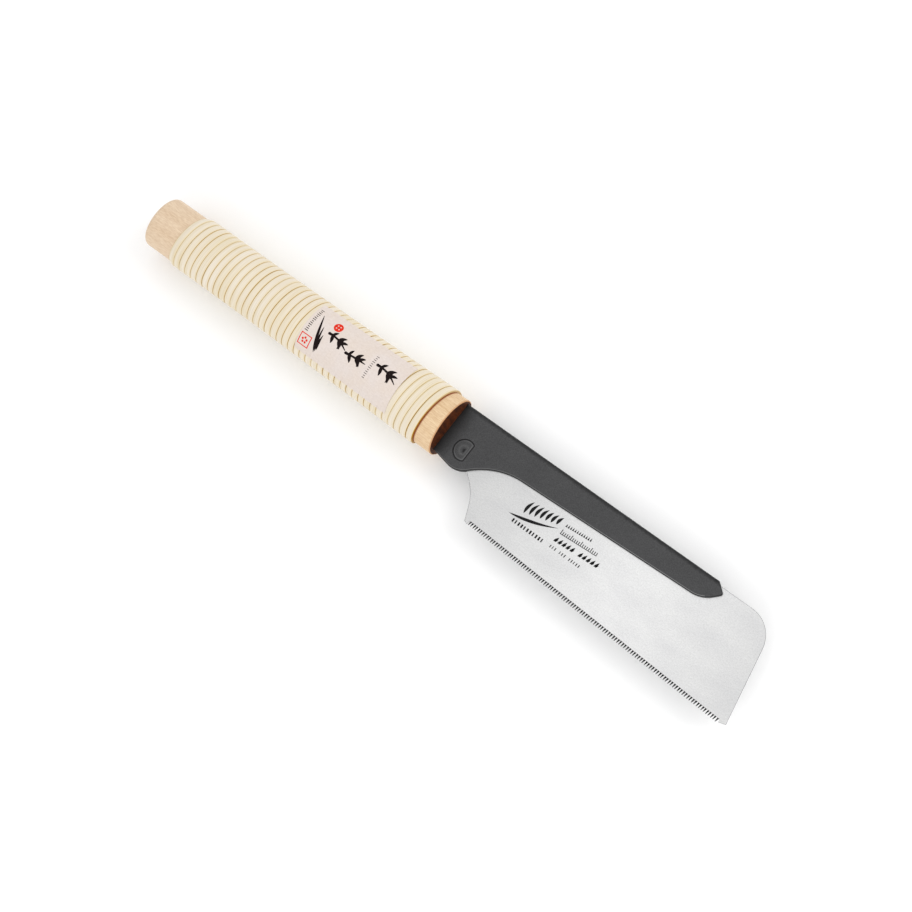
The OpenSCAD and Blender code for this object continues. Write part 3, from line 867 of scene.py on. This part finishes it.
def build_blade(material, edge_material):
    """Thin plate with a bevelled, alternately set pull tooth at every pitch."""
    plate_left = STUD_X + PLATE_REACH
    toe_corner = TOE_X - 10.1
    corners = [(plate_left, -10.4, 0), (28.9, -19, 27), (*HEEL, 0), (*EDGE_START, 0),
               (EDGE_END[0], EDGE_END[1] + BLUNT_H, 0), (TOE_X, -TOE_DEPTH, 0),
               (toe_corner, top_edge(toe_corner) - FOLD_DEPTH, 15.5),
               (plate_left, top_edge(plate_left) - FOLD_DEPTH, 2)]
    points2 = rounded(corners, 2.0)
    nib = min(range(len(points2)), key=lambda i: math.dist(points2[i], EDGE_START))
    before, after = points2[1:nib + 1], points2[nib + 1:]
    gullets = [edge_point(FIRST_GULLET + i * TOOTH_PITCH, -TOOTH_H) for i in range(TEETH + 1)]
    plate = before + gullets + after + hook_outline()
    n = len(plate)
    half = BLADE_T / 2
    first = len(before)
    skip = set(range(first, first + TEETH))
    inner = []
    for i, (x, y) in enumerate(plate):
        ax, ay = unit(x - plate[i - 1][0], y - plate[i - 1][1])
        bx, by = unit(plate[(i + 1) % n][0] - x, plate[(i + 1) % n][1] - y)
        tx, ty = unit(ax + bx, ay + by)
        inset = 0.0 if first <= i <= first + TEETH else EDGE_BEVEL
        inner.append((x - ty * inset, y + tx * inset))
    points = [(x, y, half) for x, y in inner] + [(x, y, -half) for x, y in inner]
    points += [(x, y, half * 0.6) for x, y in plate] + [(x, y, -half * 0.6) for x, y in plate]
    faces = [tuple(range(n)), tuple(range(2 * n - 1, n - 1, -1))]
    walls = []
    for i in range(n):
        if i not in skip:
            j = (i + 1) % n
            loop_i, loop_j = (i, 2 * n + i, 3 * n + i, n + i), (j, 2 * n + j, 3 * n + j, n + j)
            walls += [(loop_i[k], loop_i[k + 1], loop_j[k + 1], loop_j[k]) for k in range(3)]
    faces += walls
    for i in range(TEETH):
        side = 1 if i % 2 else -1
        start = FIRST_GULLET + i * TOOTH_PITCH
        tip = start + TOOTH_PITCH / 2 - TOOTH_LEAN
        base = len(points)
        for z_side in (1, -1):
            full = z_side == side
            cut = 0.02 if full else TOOTH_BEVEL
            low = -0.02 if full else -0.3
            z_tip = side * TOOTH_SET + z_side * half * 0.75
            z_mid = side * TOOTH_SET * 0.1 + z_side * half
            a = edge_point(start + TOOTH_FOOT + cut, -TOOTH_H + 0.06)
            b = edge_point(start + TOOTH_FOOT + ROOT_W - cut, -TOOTH_H + 0.06)
            t0 = edge_point(tip - TIP_FLAT / 2 + (0 if full else 0.03), low)
            t1 = edge_point(tip + TIP_FLAT / 2, low)
            points += [(*a, z_mid), (*t0, z_tip), (*t1, z_tip), (*b, z_mid)]
        g0, g1 = first + i, first + i + 1
        top, bottom = base, base + 4
        faces.append((g0, top, top + 1, top + 2, top + 3, g1))
        faces.append((n + g1, bottom + 3, bottom + 2, bottom + 1, bottom, n + g0))
        loop_top = [g0, top, top + 1, top + 2, top + 3, g1]
        loop_bottom = [n + g0, bottom, bottom + 1, bottom + 2, bottom + 3, n + g1]
        for k in range(5):
            faces.append((loop_top[k], loop_bottom[k], loop_bottom[k + 1], loop_top[k + 1]))
    steels = [material, edge_material]
    obj = piece("saw_blade", points, faces, steels, "blade", "blade", sharp=20)
    for polygon in obj.data.polygons[2:2 + len(walls)]:
        polygon.material_index = 1
    return obj


def build_print(material):
    """Printed ornament on the plate: leaves over a long stroke, and rows of small marks."""
    points, faces = [], []
    z = BLADE_T / 2 + 0.004    # just clear of the plate
    lift = 0.008               # thickness of the ink

    def patch(outline):
        """A thin raised patch of ink."""
        base, n = len(points), len(outline)
        points.extend([(x, y, z + lift) for x, y in outline] + [(x, y, z) for x, y in outline])
        faces.append(tuple(range(base, base + n)))
        faces.append(tuple(range(base + 2 * n - 1, base + n - 1, -1)))
        for i in range(n):
            j = (i + 1) % n
            faces.append((base + i, base + n + i, base + n + j, base + j))

    def blade_shape(root, tip, width, bend):
        """Leaf-shaped outline from root to tip."""
        dx, dy = tip[0] - root[0], tip[1] - root[1]
        length = math.hypot(dx, dy)
        ux, uy = dx / length, dy / length
        sides = []
        for sign in (1, -1):
            for k in range(0, 13):
                t = k / 12 if sign > 0 else 1 - k / 12
                if sign < 0 and k in (0, 12):
                    continue
                off = sign * width * math.sin(math.pi * t ** 0.8) + bend * length * 4 * t * (1 - t)
                sides.append((root[0] + ux * length * t + uy * off, root[1] + uy * length * t - ux * off))
        patch(sides)

    def bar_row(x0, y0, count, pitch, height, width, slant=0.0, skip=()):
        """A row of short bars, with every third one narrower."""
        for k in range(count):
            if k in skip:
                continue
            x = x0 + k * pitch
            w = width * (0.75 if k % 3 == 1 else 1.0)
            patch([(x, y0), (x + w, y0), (x + w + slant, y0 + height), (x + slant, y0 + height)])

    # a long stroke with a row of slanted leaves above it, each shorter than the last
    blade_shape((49.4, -16.3), (74.0, -8.8), 0.75, 0.04)
    for k in range(7):
        root = (55.6 + 2.7 * k, -12.6 + 0.78 * k)
        blade_shape(root, (root[0] + 1.4, root[1] + 7.4 - 0.45 * k), 0.82, -0.1)
    # a row of short bars below it
    bar_row(53.2, -19.0, 11, 1.75, 1.9, 0.9)
    # beside it: triangles, a graduated scale, pairs of small leaves and a row of bars
    for k in range(12):
        x, rise = 76.0 + 1.24 * k, 0.1 * k
        patch([(x, -6.2 + rise), (x + 0.95, -6.2 + rise), (x + 0.5, -4.4 + rise)])
    for k in range(19):
        x, rise = 76.0 + 1.13 * k, 0.07 * k
        tall = 2.3 if k % 5 == 0 else 1.5
        low, high = -10.2 + rise, -10.2 + tall + rise
        patch([(x, low), (x + 0.42, low), (x + 0.42, high), (x, high)])
    patch([(76.0, -10.45), (96.9, -9.15), (96.9, -8.85), (76.0, -10.15)])
    for k in range(11):
        if k != 5:
            x, rise = 75.6 + 2.32 * k, 0.13 * k
            blade_shape((x, -14.9 + rise), (x + 1.5, -12.0 + rise), 0.62, 0.08)
            blade_shape((x + 0.9, -15.0 + rise), (x + 2.0, -13.4 + rise), 0.3, -0.08)
    bar_row(75.8, -18.4, 13, 1.42, 1.5, 0.5, 0.1, skip=(3, 7))
    return piece("blade_print", points, faces, [material], "blade", sharp=20)


# ---------------------------------------------------------------- stage, light and camera
def build_stage():
    floor_mesh = bpy.data.meshes.new("floor")
    size = 6.0
    corners = [(-size, -size, 0), (size, -size, 0), (size, size, 0), (-size, size, 0)]
    floor_mesh.from_pydata(corners, [], [(0, 1, 2, 3)])
    floor = bpy.data.objects.new("floor", floor_mesh)
    bpy.context.scene.collection.objects.link(floor)
    n = Nodes("pale_floor", (0.96, 0.96, 0.96, 1), 0.9, specular=0.1)
    floor_mesh.materials.append(n.mat)


def area_light(name, place, target, size, power, colour=(1, 1, 1)):
    data = bpy.data.lights.new(name, "AREA")
    data.shape = "RECTANGLE"
    data.size, data.size_y = size
    data.energy = power
    data.color = colour
    light = bpy.data.objects.new(name, data)
    light.location = place
    light.rotation_euler = (Vector(target) - Vector(place)).to_track_quat("-Z", "Y").to_euler()
    bpy.context.scene.collection.objects.link(light)


def build_light():
    world = bpy.data.worlds.new("studio")
    world.use_nodes = True
    world.node_tree.nodes["Background"].inputs["Color"].default_value = (1, 1, 1, 1)
    world.node_tree.nodes["Background"].inputs["Strength"].default_value = 0.98
    bpy.context.scene.world = world
    centre = at(0, 0, 0)
    area_light("key_soft", (1.3, 1.2, 1.3), centre, (1.2, 1.2), 12)
    area_light("fill_soft", (0.7, -1.6, 1.2), centre, (1.2, 1.2), 8)


def build_camera():
    """Looks down from above, a little from the toe and the teeth, rolled so the saw runs downhill."""
    aim = Vector(at(10.986, -9.401, 0.0))
    distance = 1.233
    lean_toe, lean_teeth, roll = math.radians(22.046), math.radians(-5.792), math.radians(35.8575)
    back = Vector((math.tan(lean_toe), math.tan(lean_teeth), 1)).normalized()
    along = (Vector((1, 0, 0)) - back * back.x).normalized()
    across = back.cross(along)
    right = along * math.cos(roll) + across * math.sin(roll)
    up = back.cross(right)
    data = bpy.data.cameras.new("camera")
    data.sensor_width = 36
    data.lens = 102.63
    data.clip_start = 0.05
    camera = bpy.data.objects.new("camera", data)
    matrix = Matrix((right, up, back)).transposed().to_4x4()
    matrix.translation = aim + back * distance
    camera.matrix_world = matrix
    bpy.context.scene.collection.objects.link(camera)
    bpy.context.scene.camera = camera


# ---------------------------------------------------------------- the saw
wood = wood_material()
stain = stain_material()
build_wood_half("handle_upper", "handle_half_upper", 1, wood, stain)
build_wood_half("handle_lower", "handle_half_lower", -1, wood, stain)
build_strip("cane_strip_a", "wrap_strip_a", False, cane_material("peeled_cane_a", (228, 218, 200)))
build_strip("cane_strip_b", "wrap_strip_b", True, cane_material("peeled_cane_b", (226, 215, 195)))
build_label(paper_material())
build_back(back_material())
build_stud(back_material())
build_blade(blade_material(), plain_steel_material("sheared_edge", linear(120, 120, 122), 0.5))
build_print(ink_material())
pin_steel = plain_steel_material("drawn_wire", (0.55, 0.55, 0.56, 1.0), 0.35)
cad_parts["tang_pins"].data.materials[0] = pin_steel

build_stage()
build_light()
build_camera()
bpy.context.scene.view_settings.view_transform = "Standard"
